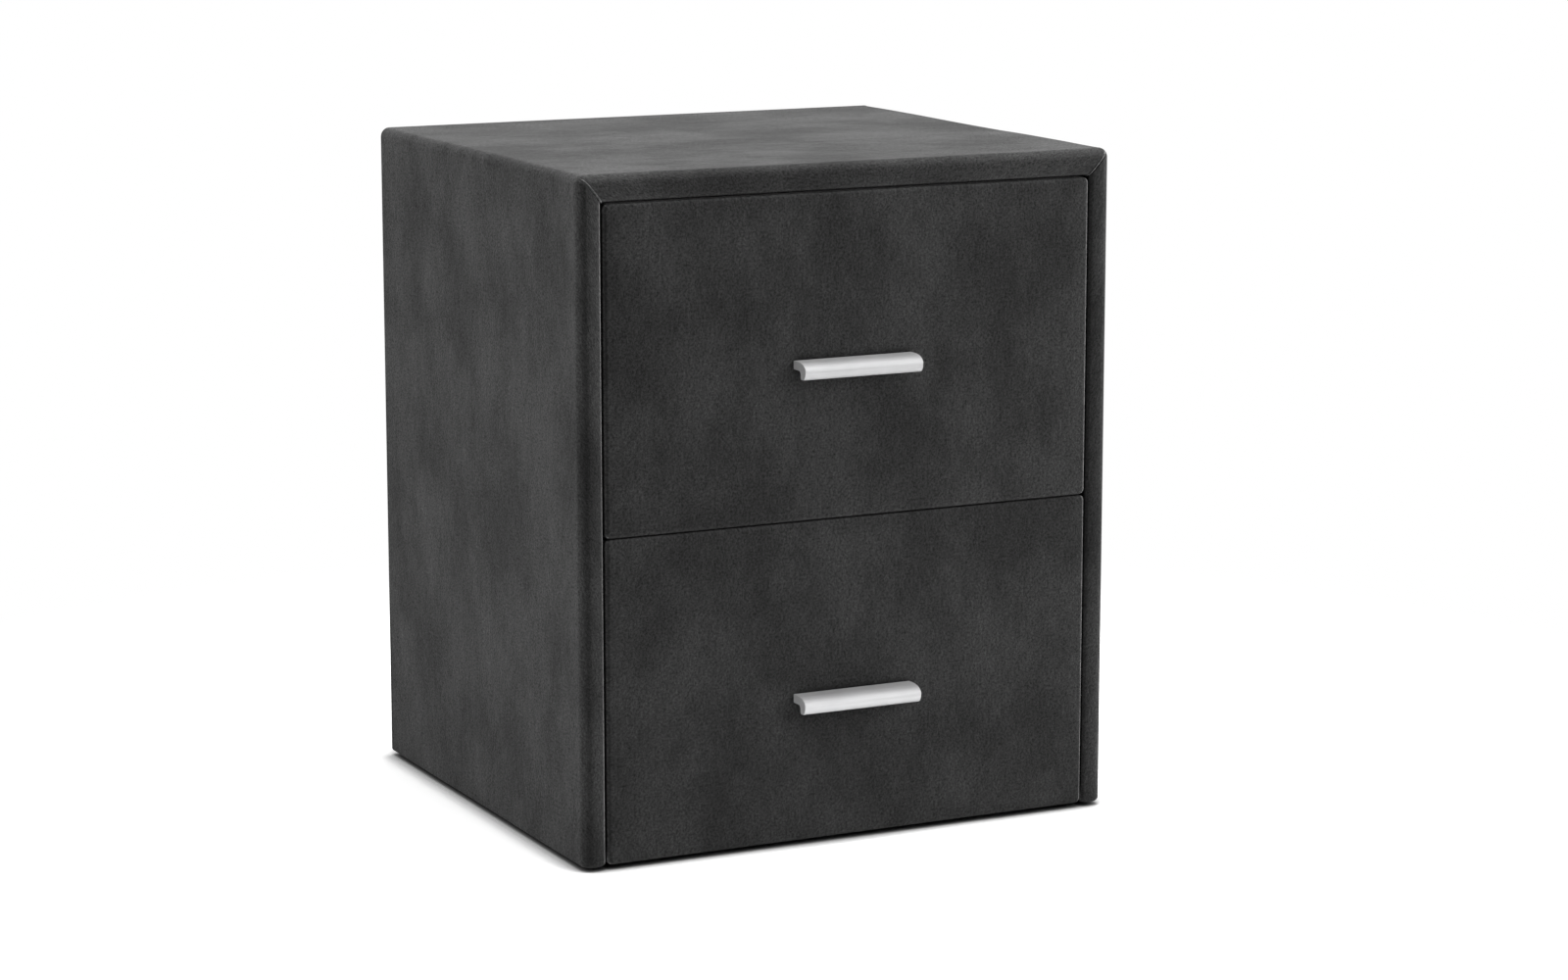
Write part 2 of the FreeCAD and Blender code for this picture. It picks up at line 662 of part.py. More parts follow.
def drawer(name):
    """Every piece of one drawer, with the holes that its fasteners need."""
    base = FRONT_BASE[name]
    box_base = base + BOX_LIFT
    level = box_base + SLIDE_LIFT
    handle_top = base + FRONT_HEIGHT / 2 - HANDLE_DROP[name]
    board, foam, cover = front_layers(base)
    pieces = {"front_board": board, "front_foam": foam, "front_cover": cover}
    pieces.update(box_boards(box_base))
    pieces["box_bottom"] = box_bottom(box_base)
    pieces["handle"] = handle(handle_top)
    for side_name, side in SIDES.items():
        pieces[f"runner_{side_name}"] = slide_runner(side, level)
    runner_screws = slide_screws(-1, level, True) + slide_screws(1, level, True)
    fasteners = {
        "front_staples": front_staples(base),
        "box_screws": box_screws(box_base),
        "front_screws": front_screws(box_base),
        "handle_screws": handle_screws(handle_top),
        "runner_screws": joined(runner_screws),
    }
    drill(pieces, fasteners.values())
    pieces.update(fasteners)
    return {f"{name}_{piece}": shape for piece, shape in pieces.items()}


def drill(pieces, groups):
    """Cuts the fasteners of each group out of every piece that they run through."""
    for name, shape in pieces.items():
        for group in groups:
            hits = [s for s in group.Solids if s.BoundBox.intersect(shape.BoundBox)]
            if hits:
                shape = shape.cut(joined(hits))
        pieces[name] = shape


def cabinet():
    """The carcass with its padding, cover, glides and slide rails."""
    padding = arch(VELVET)
    pieces = {
        "top_board": top_board(padding),
        "bottom_board": bottom_board(),
        "back_panel": back_panel(),
        "top_foam": top_foam(padding),
        "carcass_cover": carcass_cover(padding),
    }
    for name, side in SIDES.items():
        board = side_board(side, padding)
        pieces[f"side_foam_{name}"] = side_foam(side, padding, board)
        pieces[f"side_board_{name}"] = board
    rail_screws = []
    bumpers = []
    for drawer_name, base in FRONT_BASE.items():
        level = base + BOX_LIFT + SLIDE_LIFT
        for name, side in SIDES.items():
            pieces[f"{drawer_name}_rail_{name}"] = slide_rail(side, level)
            rail_screws += slide_screws(side, level, False)
            bumpers.append(bumper(side, level))
    pieces["rail_bumpers"] = joined(bumpers)
    fasteners = {
        "carcass_screws": carcass_screws(),
        "carcass_dowels": carcass_dowels(),
        "frame_staples": frame_staples(),
        "rail_screws": joined(rail_screws),
        "glides": glides(),
    }
    drill(pieces, fasteners.values())
    pieces.update(fasteners)
    return pieces


def slide_cages():
    """The ball cages and their balls, which move half as far as the drawers."""
    pieces = {}
    for drawer_name, base in FRONT_BASE.items():
        level = base + BOX_LIFT + SLIDE_LIFT
        for name, side in SIDES.items():
            pieces[f"{drawer_name}_cage_{name}"] = ball_cage(side, level)
            pieces[f"{drawer_name}_balls_{name}"] = balls(side, level)
    return pieces


os.makedirs("parts", exist_ok=True)
nodes = {}
nodes.update(cabinet())
nodes.update(drawer("upper"))
nodes.update(drawer("lower"))
nodes.update(slide_cages())
for node, shape in nodes.items():
    if not shape.isValid():
        raise ValueError(f"{node} isn't a valid shape")
    shape.exportStep(f"parts/{node}.step")
    print(f"{node}: {len(shape.Solids)} solids, {shape.Volume:.0f} mm3")
print(len(nodes), "nodes")
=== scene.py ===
# %% [markdown]
# # A velvet nightstand with two drawers
# The construction is finished before Blender starts: boards, slides, screws
# and handles come in as a fixed frame, each part in its place and in metres.
# What is left for Blender is what upholstery adds, which is cloth, padding
# and finish. First the frame is loaded and its box is kept for later.

# %% Load the frame
import json
import math
import bpy
import numpy as np
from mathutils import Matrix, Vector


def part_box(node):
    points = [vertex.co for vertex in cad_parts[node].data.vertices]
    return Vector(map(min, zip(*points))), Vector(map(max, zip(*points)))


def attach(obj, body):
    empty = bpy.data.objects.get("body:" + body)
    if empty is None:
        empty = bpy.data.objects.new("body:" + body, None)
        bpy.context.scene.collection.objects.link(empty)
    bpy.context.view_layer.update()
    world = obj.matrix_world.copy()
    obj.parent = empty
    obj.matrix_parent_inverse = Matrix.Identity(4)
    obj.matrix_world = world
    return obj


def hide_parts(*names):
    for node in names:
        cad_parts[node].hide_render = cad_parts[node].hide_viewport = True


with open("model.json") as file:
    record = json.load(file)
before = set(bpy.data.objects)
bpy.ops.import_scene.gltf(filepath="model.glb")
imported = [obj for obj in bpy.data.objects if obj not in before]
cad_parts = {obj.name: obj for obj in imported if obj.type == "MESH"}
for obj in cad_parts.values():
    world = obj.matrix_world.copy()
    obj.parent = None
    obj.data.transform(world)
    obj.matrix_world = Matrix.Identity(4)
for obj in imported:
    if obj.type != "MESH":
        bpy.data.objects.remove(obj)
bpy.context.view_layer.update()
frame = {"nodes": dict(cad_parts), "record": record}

nodes = frame["nodes"]

# %% [markdown]
# ## Camera and studio
# A product picture is taken from far away with a long lens, so that the sides
# stay nearly parallel. The camera stands about three metres off, to the left
# of the front and a little above the top. It is placed by where it stands,
# how far it is turned and how far it looks down.

# %% Camera
scene = bpy.context.scene
scene.view_settings.view_transform = "Standard"

camera = bpy.data.objects.new("camera", bpy.data.cameras.new("camera"))
camera.location = (-1.3992, -2.8988, 0.8492)
turned, down = 0.4600, 0.1865  # radians: to the right of straight ahead, and down
camera.rotation_euler = (math.pi / 2 - down, 0, -turned)
camera.data.sensor_width = 36
camera.data.lens = 93.486
camera.data.clip_end = 60
scene.collection.objects.link(camera)
scene.camera = camera
print("camera: lens", round(camera.data.lens, 1), "mm")

# %% [markdown]
# Materials are graphs of nodes. Small helpers keep the cells that build them
# short: one adds a node with its settings and inputs, one starts an empty
# material, and the rest do sums with values on their way through the graph.

# %% Helpers for node graphs
def add(tree, kind, settings=None, **inputs):
    """Adds a node. Inputs are named with _ for a space; a value sets, a socket links."""
    node = tree.nodes.new(kind)
    for key, value in (settings or {}).items():
        setattr(node, key, value)
    for key, value in inputs.items():
        socket = node.inputs[int(key[1:]) if key[1:].isdigit() else key.replace("_", " ")]
        if isinstance(value, bpy.types.NodeSocket):
            tree.links.new(value, socket)
        else:
            socket.default_value = value
    return node


def material(name):
    """An empty node material: its tree and its output node."""
    made = bpy.data.materials.new(name)
    made.use_nodes = True
    made.node_tree.nodes.clear()
    return made, made.node_tree, add(made.node_tree, "ShaderNodeOutputMaterial")


def grey(value):
    return (value, value, value, 1)


def here(tree):
    return add(tree, "ShaderNodeTexCoord").outputs["Object"]


def combine(tree, kind, a, b, c=None):
    """One math node's result."""
    inputs = {"_0": a, "_1": b}
    if c is not None:
        inputs["_2"] = c
    return add(tree, "ShaderNodeMath", {"operation": kind}, **inputs).outputs[0]


def spread(tree, value, start, end, low=0.0, high=1.0, kind="SMOOTHSTEP"):
    """The value's way from start to end, carried over to low to high."""
    inputs = {"_0": value, "_1": start, "_2": end, "_3": low, "_4": high}
    return add(tree, "ShaderNodeMapRange", {"interpolation_type": kind}, **inputs).outputs[0]


# %% [markdown]
# The studio is a white floor without an end. To the camera the floor is a
# very light paper that turns white wherever light reaches it, so that only the
# shadow close to the furniture is left. For light that bounces, it is an
# ordinary pale floor. Wide lamps leave almost no dark line where something
# stands, so an occlusion node, which feels for things within 17 mm, adds it.
# The world is white to the camera and a softer grey for lighting.

# %% Floor and world
def floor_material():
    """Diffuse paper whose colour is higher for camera and mirror rays than for
    bounced light, which darkens close to the furniture by a power of the open
    air around, and fades to plain white away from it."""
    made, tree, out = material("floor_paper")
    path = add(tree, "ShaderNodeLightPath").outputs
    seen = combine(tree, "MAXIMUM", path["Is Camera Ray"], path["Is Glossy Ray"])
    seen = combine(tree, "MAXIMUM", seen, path["Is Transmission Ray"])
    paper = add(tree, "ShaderNodeMix", {"data_type": "RGBA"}, _0=seen, _6=grey(0.75), _7=grey(1.7))
    # painted shadow: an occlusion node darkens the paper within 17 mm of the furniture
    close = add(tree, "ShaderNodeAmbientOcclusion", {"samples": 8}, Distance=0.017).outputs["AO"]
    close = combine(tree, "POWER", close, 1.6)
    paper = add(tree, "ShaderNodeMix", {"data_type": "RGBA"}, _0=close, _6=grey(0), _7=paper.outputs[2])
    shade = add(tree, "ShaderNodeBsdfDiffuse", Color=paper.outputs[2])
    away = add(tree, "ShaderNodeVectorMath", {"operation": "LENGTH"}, _0=here(tree))
    fade = combine(tree, "MULTIPLY", spread(tree, away.outputs["Value"], 0.45, 0.95), seen)
    white = add(tree, "ShaderNodeEmission", Color=grey(1), Strength=1.0)
    both = add(tree, "ShaderNodeMixShader", _0=fade, _1=shade.outputs[0], _2=white.outputs[0])
    tree.links.new(both.outputs[0], out.inputs[0])
    return made


floor = bpy.data.meshes.new("floor")
floor.from_pydata([(-9, -9, 0), (9, -9, 0), (9, 9, 0), (-9, 9, 0)], [], [(0, 1, 2, 3)])
floor.materials.append(floor_material())
floor = bpy.data.objects.new("floor", floor)
scene.collection.objects.link(floor)

world = bpy.data.worlds.new("studio")
world.use_nodes = True
scene.world = world
tree = world.node_tree
tree.nodes.clear()
path = add(tree, "ShaderNodeLightPath").outputs
seen = combine(tree, "MAXIMUM", path["Is Camera Ray"], path["Is Transmission Ray"])
level = add(tree, "ShaderNodeMix", {"data_type": "FLOAT"}, _0=seen, _2=0.45, _3=1.0)
level = add(tree, "ShaderNodeMix", {"data_type": "FLOAT"}, _0=path["Is Glossy Ray"], _2=level.outputs[0], _3=0.75)
back = add(tree, "ShaderNodeBackground", Color=grey(1), Strength=level.outputs[0])
tree.links.new(back.outputs[0], add(tree, "ShaderNodeOutputWorld").inputs[0])

# %% [markdown]
# Four large lamps give plain soft light. The strongest hangs overhead, so the
# top is the brightest face, and a wide one stands at the front. A weak one at
# the left keeps the long side from going black, and another at the right
# lights the edges that turn that way.

# %% Lamps
def lamp(name, place, target, size, power):
    """A square area lamp at place that faces the target point."""
    light = bpy.data.lights.new(name, "AREA")
    light.shape, light.size, light.energy = "SQUARE", size, power
    made = bpy.data.objects.new(name, light)
    way = np.array(target, float) - place
    made.location = place
    made.rotation_euler = (math.acos(-way[2] / np.linalg.norm(way)), 0, math.atan2(way[0], -way[1]) + math.pi)
    scene.collection.objects.link(made)
    print("lamp", name, "at", place, "with", power, "W")
    return made


lamp("overhead", (0.1, -0.2, 2.6), (0, 0, 0.2), 1.8, 48)
lamp("front", (1.5, -2.5, 1.5), (0, 0, 0.25), 1.6, 35)
lamp("right", (2.4, -1.0, 1.2), (0, 0, 0.25), 1.4, 14)
lamp("left", (-2.8, -0.6, 1.2), (0, 0, 0.25), 1.4, 19)

# %% [markdown]
# ## Sizes of the upholstery
# Every size comes from the frame: the outside of the cover, the opening that
# the drawers stand in, and the drawer fronts. The cloth itself is 0.8 mm thick
# with its backing, over 2 mm of foam at the sides and 4 mm on the top.

# %% Sizes
MM = 0.001
VELVET = 0.8 * MM
low, high = (np.array(corner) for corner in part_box("carcass_cover"))
HALF, FRONT, BACK, BASE, TOP = high[0], low[1], high[1], low[2], high[2]
OPENING_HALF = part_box("side_board_right")[0].x - VELVET
OPENING_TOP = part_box("top_board")[0].z - VELVET
STILE = HALF - OPENING_HALF  # width of the frame's front at the sides
RAIL = TOP - OPENING_TOP  # its height over the drawers
TURN_IN = 26 * MM  # cloth folded into the opening
OUTER_ROUND, FOLD_ROUND, BACK_ROUND = 7.5 * MM, 3 * MM, 3 * MM
print("stile", round(STILE, 5), "rail", round(RAIL, 5), "opening", round(OPENING_HALF, 5), round(OPENING_TOP, 5))

# %% [markdown]
# ## Surfaces from numbers
# Upholstery is a surface with two directions, so each piece is worked out as a
# grid of points: rows run one way over the cloth and columns the other. The
# whole grid is computed at once as arrays and handed to the mesh in one go.
# The cloth's own measure, in metres along rows and columns, is kept as its UV
# map, so that the pile can follow the cloth round every edge.

# %% Grid to mesh
def grid_mesh(name, points, closed=False, flat=None, open_pile_highlight=None):
    """Quads between neighbours of points[row, column]. When closed, the last
    column joins the first. The UV map holds flat, the place of each point on
    the cloth before it was folded, or else the distance walked over the cloth
    in metres: along the rows for u, and along the columns for v. A point
    attribute says, from 0 to 1, how strong a painted highlight is where a
    tight bend spreads the pile open."""
    rows, columns = points.shape[:2]
    number = np.arange(rows * columns).reshape(rows, columns)
    across = np.concatenate([number, number[:, :1]], 1) if closed else number
    quads = np.stack([across[:-1, :-1], across[:-1, 1:], across[1:, 1:], across[1:, :-1]], -1).reshape(-1, 4)
    wide = np.concatenate([points, points[:, :1]], 1) if closed else points
    u = np.zeros(wide.shape[:2])
    v = np.zeros(wide.shape[:2])
    u[1:] = np.cumsum(np.linalg.norm(np.diff(wide, axis=0), axis=-1).mean(1))[:, None]
    v[:, 1:] = np.cumsum(np.linalg.norm(np.diff(wide, axis=1), axis=-1).mean(0))[None]
    cut = np.stack([u, v], -1)
    if flat is not None:
        cut = np.concatenate([flat, flat[:, :1]], 1) if closed else flat
    cut = np.stack([cut[:-1, :-1], cut[:-1, 1:], cut[1:, 1:], cut[1:, :-1]], -2).reshape(-1, 2)
    mesh = bpy.data.meshes.new(name)
    mesh.vertices.add(rows * columns)
    mesh.vertices.foreach_set("co", points.reshape(-1))
    mesh.loops.add(quads.size)
    mesh.loops.foreach_set("vertex_index", quads.reshape(-1))
    mesh.polygons.add(len(quads))
    mesh.polygons.foreach_set("loop_start", np.arange(len(quads)) * 4)
    mesh.update(calc_edges=True)
    mesh.polygons.foreach_set("use_smooth", np.ones(len(quads), bool))
    mesh.uv_layers.new(name="cloth").data.foreach_set("uv", cut.reshape(-1))
    if open_pile_highlight is not None:
        highlight_layer = mesh.attributes.new("open_pile_highlight", "FLOAT", "POINT")
        highlight_layer.data.foreach_set("value", open_pile_highlight.reshape(-1).astype(np.float32))
    mesh.validate()
    made = bpy.data.objects.new(name, mesh)
    scene.collection.objects.link(made)
    print(name, "-", rows, "x", columns, "points,", len(quads), "faces")
    return made


def give_thickness(piece, thickness):
    """Thickens a surface inwards, away from the side that its faces show."""
    weld = piece.modifiers.new("weld", "WELD")
    weld.merge_threshold = 0.01 * MM
    wall = piece.modifiers.new("thickness", "SOLIDIFY")
    wall.thickness, wall.offset = thickness, -1


def along(start, end, count, crowd=1.0):
    """count values from start to end; crowd above 1 packs them towards both ends."""
    t = np.linspace(-1, 1, count)
    t = np.sign(t) * (1 - (1 - np.abs(t)) ** crowd)
    return start + (end - start) * (t + 1) / 2


def join(*runs):
    """Runs of points end to end, without repeating the points where they meet."""
    return np.concatenate([runs[0]] + [run[1:] for run in runs[1:]])


# %% [markdown]
# Cloth over thin foam is never quite flat: it holds faint swells where the
# foam gives and the glue pulls. A handful of long waves in fixed directions,
# added together, make such swells without any randomness between runs.

# %% Soft unevenness
def swells(a, b, seed, longest=0.24, shortest=0.05, waves=14):
    """A sum of cosine waves over a and b, in metres, scaled to about -1 to 1.
    Each wave has its own direction, length and start from a seeded table."""
    table = np.random.default_rng(seed).random((waves, 3))
    turn = table[:, 0] * 2 * math.pi
    length = longest * (shortest / longest) ** table[:, 1]
    phase = (a[..., None] * np.cos(turn) + b[..., None] * np.sin(turn)) * 2 * math.pi / length
    weight = length / length.max()
    return (np.cos(phase + table[:, 2] * 2 * math.pi) * weight).sum(-1) / math.sqrt(waves) / 0.7


# %% [markdown]
# ## The carcass cover
# One length of velvet goes up the left side, over the top and down the right
# side, as an arch. Its long edges are folded round: at the front over the
# padded frame and 26 mm into the opening, at the back over the board edges.
# So the shape is a profile carried along the arch. The profile says how far
# each line of cloth lies inside the outermost face, and how deep it lies.

# %% Profile of the arch
CROWN = 1.8 * MM  # how much the frame's front swells in its middle


def arc(centre, radius, start, end, count):
    """Points of a circle from start to end degrees, 0 along the first axis."""
    turn = np.radians(np.linspace(start, end, count))
    return np.stack([centre[0] + radius * np.cos(turn), centre[1] + radius * np.sin(turn)], -1)


def line(start, end, count, crowd=1.0):
    """Points of a straight run."""
    t = along(0, 1, count, crowd)[:, None]
    return np.array(start) * (1 - t) + np.array(end) * t


def arch_profile(inner, rear, thin=0.0):
    """(inset, depth) of the cloth from its fold in the opening, over the front,
    along the face and round the back. inner and rear are the insets of the
    opening and of the rear edge; thin draws the profile in all round."""
    front, back = FRONT + thin, BACK - thin
    fold, outer, small = FOLD_ROUND - thin, OUTER_ROUND - thin, BACK_ROUND - thin
    inset = inner - thin
    return join(
        line((inset, FRONT + TURN_IN), (inset, front + fold), 5),
        arc((inset - fold, front + fold), fold, 0, -90, 9),
        line((inset - fold, front), (thin + outer, front), 9),
        arc((thin + outer, front + outer), outer, -90, -180, 13),
        line((thin, front + outer), (thin, back - small), 56, 1.25),
        arc((thin + small, back - small), small, 180, 90, 7),
        line((thin + small, back), (rear, back), 4),
    )


profile = arch_profile(STILE, HALF - OPENING_HALF - VELVET)

# %% [markdown]
# The path has three legs and two corners. Close to the outside the corner is
# as round as the padding, and it gets sharper inwards until the cloth lies
# mitred. Under each side the cloth is folded in around the board's end, as a
# hem. All of it is one formula: a place along the path and a line of the
# profile give a point.

# %% Path of the arch
CORNER_REACH = 10 * MM  # from a corner to where its two legs are straight


def corner_path(sharp, round_):
    """Where the bend of a corner goes, as (below, beyond) the sharp corner, for
    places sharp from -1 to 1 along it and one radius per profile line. The
    bend is a straight run, a quarter circle and a straight run, walked at an
    even pace."""
    straight = CORNER_REACH - round_
    total = 2 * straight + math.pi / 2 * round_
    walked = (sharp[:, None] + 1) / 2 * total[None]
    turn = np.clip((walked - straight) / np.maximum(round_, 1e-9), 0, math.pi / 2)
    after = np.maximum(walked - straight - math.pi / 2 * round_, 0)
    below = CORNER_REACH - np.minimum(walked, straight) - round_ * np.sin(turn)
    beyond = round_ * (1 - np.cos(turn)) + after
    return below, beyond


def arch_points(profile, top_scale, corners=41, leg=76, top=66):
    """The cloth of the arch, rows along the path from the left foot to the
    right one and columns along the profile. On the left leg a point lies at
    its inset from the left face, on the top at its inset from the top, where
    the front is a little wider, and the right half mirrors the left."""
    inset, depth = profile.T
    deep = np.clip((inset - OUTER_ROUND) / (STILE - OUTER_ROUND), 0, 1)
    top_inset = inset + deep * top_scale
    left, roof = -HALF + inset, TOP - top_inset
    round_ = np.maximum(OUTER_ROUND - inset, 1.2 * MM)
    foot = BASE + BACK_ROUND
    rise = along(0, 1, leg, 1.2)[:, None]
    ones = np.ones_like(inset)
    leg_x = left * np.ones_like(rise)
    leg_z = foot + (roof - CORNER_REACH - foot) * rise
    t = np.linspace(-1, 1, corners)
    sharp = np.sign(t) * np.abs(t) ** 2.0
    below, beyond = corner_path(sharp, round_)
    corner_x, corner_z = left + beyond, roof - below
    over = along(0, 1, top // 2, 1.2)[:, None]
    over_x = (left + CORNER_REACH) * (1 - over)
    over_z = roof * np.ones_like(over)
    half_x = np.concatenate([leg_x, corner_x[1:], over_x[1:]])
    half_z = np.concatenate([leg_z, corner_z[1:], over_z[1:]])
    mitre = np.concatenate([np.full(leg, -1.0), sharp[1:], np.full(top // 2 - 1, 1.0)])
    x = np.concatenate([half_x, -half_x[-2::-1]])
    z = np.concatenate([half_z, half_z[-2::-1]])
    y = depth * np.ones_like(x)
    return np.stack([x, y, z], -1), np.concatenate([mitre, mitre[-2::-1]])


arch, mitre = arch_points(profile, RAIL - STILE)
print("arch:", arch.shape[:2], "points")

# %% [markdown]
# Three things make it upholstery and not sheet metal. The narrow front of the
# frame swells a little between its folds. At each upper corner the top's cloth
# is folded over the side's along the mitre, which shows as a thin raised edge
# with a shadow line beside it. And the large faces have their faint swells.

# %% Shape the cover
def row_normals(points):
    """Outward unit normals of a grid of points, from its two directions."""
    a = np.gradient(points, axis=0)
    b = np.gradient(points, axis=1)
    normal = np.cross(a, b)
    return normal / np.maximum(np.linalg.norm(normal, axis=-1, keepdims=True), 1e-12)


def crowned(points, profile, width):
    """The front of the frame moved back by the square of the distance from its middle."""
    from_middle = np.clip((profile[:, 0] - width / 2) / (width / 2), -1, 1)
    near_front = np.clip(1 - (profile[:, 1] - FRONT) / (20 * MM), 0, 1)
    moved = points.copy()
    moved[..., 1] += CROWN * from_middle**2 * near_front
    return moved


def bell(value, middle, width):
    """1 at the middle, falling smoothly to 0 on both sides."""
    return np.exp(-(((value - middle) / width) ** 2))


def seam_height(mitre, profile):
    """A ridge just past the mitre and a groove just before it, which fade out
    where the frame's front rounds over into the faces. Also gives the weight
    of a painted highlight where the pile is spread open: on the ridge, and
    round the fold into the opening, faint along the top."""
    across = mitre * CORNER_REACH / math.sqrt(2)
    ridge = bell(across, 0.5 * MM, 0.4 * MM)
    groove = bell(across, -0.4 * MM, 0.32 * MM)
    shown = np.clip((profile[:, 0] - 0.8 * MM) / (2.5 * MM), 0, 1) * (profile[:, 1] < FRONT + TURN_IN + MM)
    turned_in = np.clip((profile[:, 0] - STILE + 1.7 * MM) / (0.5 * MM), 0, 1) * (profile[:, 1] < FRONT + 0.9 * FOLD_ROUND)
    on_top = 0.1 + 0.9 * (mitre < 0)
    open_pile_highlight = np.maximum(1.4 * ridge[:, None] * shown[None], turned_in[None] * on_top[:, None])
    return MM * (0.6 * ridge - 0.55 * groove)[:, None] * shown[None], open_pile_highlight


arch = crowned(arch, profile, STILE)
faces = np.clip((profile[:, 1] - FRONT - 2 * MM) / (12 * MM), 0, 1) * (profile[:, 0] < 0.1 * MM)
run = np.concatenate([[0], np.cumsum(np.linalg.norm(np.diff(arch[:, 40], axis=0), axis=1))])
uneven = swells(run[:, None] + 0 * faces, arch[..., 1], 5)
seam, open_pile_highlight = seam_height(mitre, profile)
lift = seam + 0.22 * MM * (np.clip(uneven, -1.2, 1) - 1) * faces
arch = arch + row_normals(arch) * lift[..., None]
print("swells between", round(float(lift.min()) / MM, 2), "and", round(float(lift.max()) / MM, 2), "mm")

# %% [markdown]
# The hem under each foot is a few more rows: the profile drawn in towards its
# own middle while it turns under. Then the grid becomes a mesh, the cloth gets
# its thickness, and the piece takes the place of the plain cover.

# %% Hem and mesh
def foot_rows(first, profile, count=6):
    """Rows below the first one: a quarter turn of the back's radius, then flat
    under the foot. The cloth moves in by the turn and the hem, away from the
    side that it covers."""
    turn = np.radians(np.linspace(0, 90, count))[1:]
    drawn = np.concatenate([BACK_ROUND * (1 - np.cos(turn)), BACK_ROUND + np.array([2, 4, 6]) * MM])
    fallen = np.concatenate([BACK_ROUND * np.sin(turn), np.full(3, BACK_ROUND)])
    inset, depth = profile.T
    outward = np.clip((inset - STILE / 2) / (STILE / 2 - 1.5 * MM), -1, 1)
    forward = np.clip((FRONT + 8 * MM - depth) / (8 * MM), 0, 1) - np.clip((depth - BACK + 3 * MM) / (3 * MM), 0, 1)
    rows = np.repeat(first[None], len(drawn), 0)
    side = np.sign(first[0, 0])
    rows[..., 0] += side * outward * drawn[:, None]
    rows[..., 1] += forward * drawn[:, None]
    rows[..., 2] -= fallen[:, None]
    return rows


left_foot, right_foot = foot_rows(arch[0], profile), foot_rows(arch[-1], profile)
cover_points = np.concatenate([left_foot[::-1], arch, right_foot])
# weights of the painted fold highlight, none on the hems
foot_pile_highlight = np.zeros(left_foot.shape[:2])
cover_pile_highlight = np.concatenate([foot_pile_highlight, open_pile_highlight, foot_pile_highlight])
carcass_velvet = grid_mesh("carcass_velvet", cover_points[:, ::-1], open_pile_highlight=cover_pile_highlight[:, ::-1])
give_thickness(carcass_velvet, VELVET)
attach(carcass_velvet, "cabinet")
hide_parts("carcass_cover")

# %% [markdown]
# ## Foam under the cover
# The foam is what rounds the edges. It is cut in three pads, one on each side
# and one on the top, that meet along the mitres, so each is a stretch of the
# same arch, drawn in by the thickness of the cloth and given its own
# thickness: 2 mm at the sides and 4 mm on the top.

# %% Pads of the carcass
def pad(name, rows, thickness, body, *stands_for):
    """A foam pad from a grid of points on its outer face."""
    made = grid_mesh(name, rows)
    give_thickness(made, thickness)
    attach(made, body)
    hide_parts(*stands_for)
    return made


inside = arch_profile(STILE, STILE - VELVET, VELVET + 0.05 * MM)
inside = inside[(inside[:, 0] < STILE - 3.2 * MM) & (inside[:, 1] < BACK - 3 * MM)]
foam_rows, foam_mitre = arch_points(inside, RAIL - STILE, 11, 30, 30)
foam_rows = crowned(foam_rows, inside, STILE)[:, ::-1]
cuts = np.flatnonzero(foam_mitre == 0)
left_pad = pad("left_side_pad", foam_rows[: cuts[0]], 1.9 * MM, "cabinet", "side_foam_left")
top_pad = pad("top_pad", foam_rows[cuts[0] + 1 : cuts[1]], 3.9 * MM, "cabinet", "top_foam")
right_pad = pad("right_side_pad", foam_rows[cuts[1] + 1 :], 1.9 * MM, "cabinet", "side_foam_right")

# %% [markdown]
# ## Drawer fronts
# A drawer front is a board with foam on its face, wrapped in velvet that is
# stapled to its back. Seen from the front it is a rectangle with small round
# corners, so the cloth is worked out in rings: a rounded rectangle that
# shrinks towards the middle of the face in one direction, and towards the
# stapled rim at the back in the other.

# %% Rings of a drawer front
CORNER = 3.5 * MM
RIM = 20 * MM  # cloth folded onto the back of a front
SWELL = 14 * MM  # width of the border where the face falls towards its edge
FALL = 0.75 * MM  # how far it falls there
BORDER, MIDDLE = 14, 25  # rings on the border, and inside it


def ring(half_x, half_z, round_, edge=(92, 56), bend=9):
    """Points round a rectangle with circular corners: each side a straight run,
    each corner a quarter circle. Sizes may be columns, for many rings at once."""
    half_x, half_z, round_ = (np.asarray(value, float).reshape(-1, 1) for value in (half_x, half_z, round_))
    turn = np.radians(np.linspace(0, 90, bend))[None]
    quarter_x, quarter_z = round_ * np.cos(turn), round_ * np.sin(turn)
    cx, cz = half_x - round_, half_z - round_
    run_x = along(-1, 1, edge[0], 1.3)[None, 1:-1]
    run_z = along(-1, 1, edge[1], 1.3)[None, 1:-1]
    back_x, back_z = quarter_x[:, ::-1], quarter_z[:, ::-1]
    side, level = 0 * run_z, 0 * run_x
    x = [half_x + side, cx + quarter_x, -cx * run_x, -cx - back_x]
    x += [-half_x + side, -cx - quarter_x, cx * run_x, cx + back_x]
    z = [cz * run_z, cz + quarter_z, half_z + level, cz + back_z]
    z += [-cz * run_z, -cz - quarter_z, -half_z + level, -cz - back_z]
    return np.concatenate(x, 1), np.concatenate(z, 1)


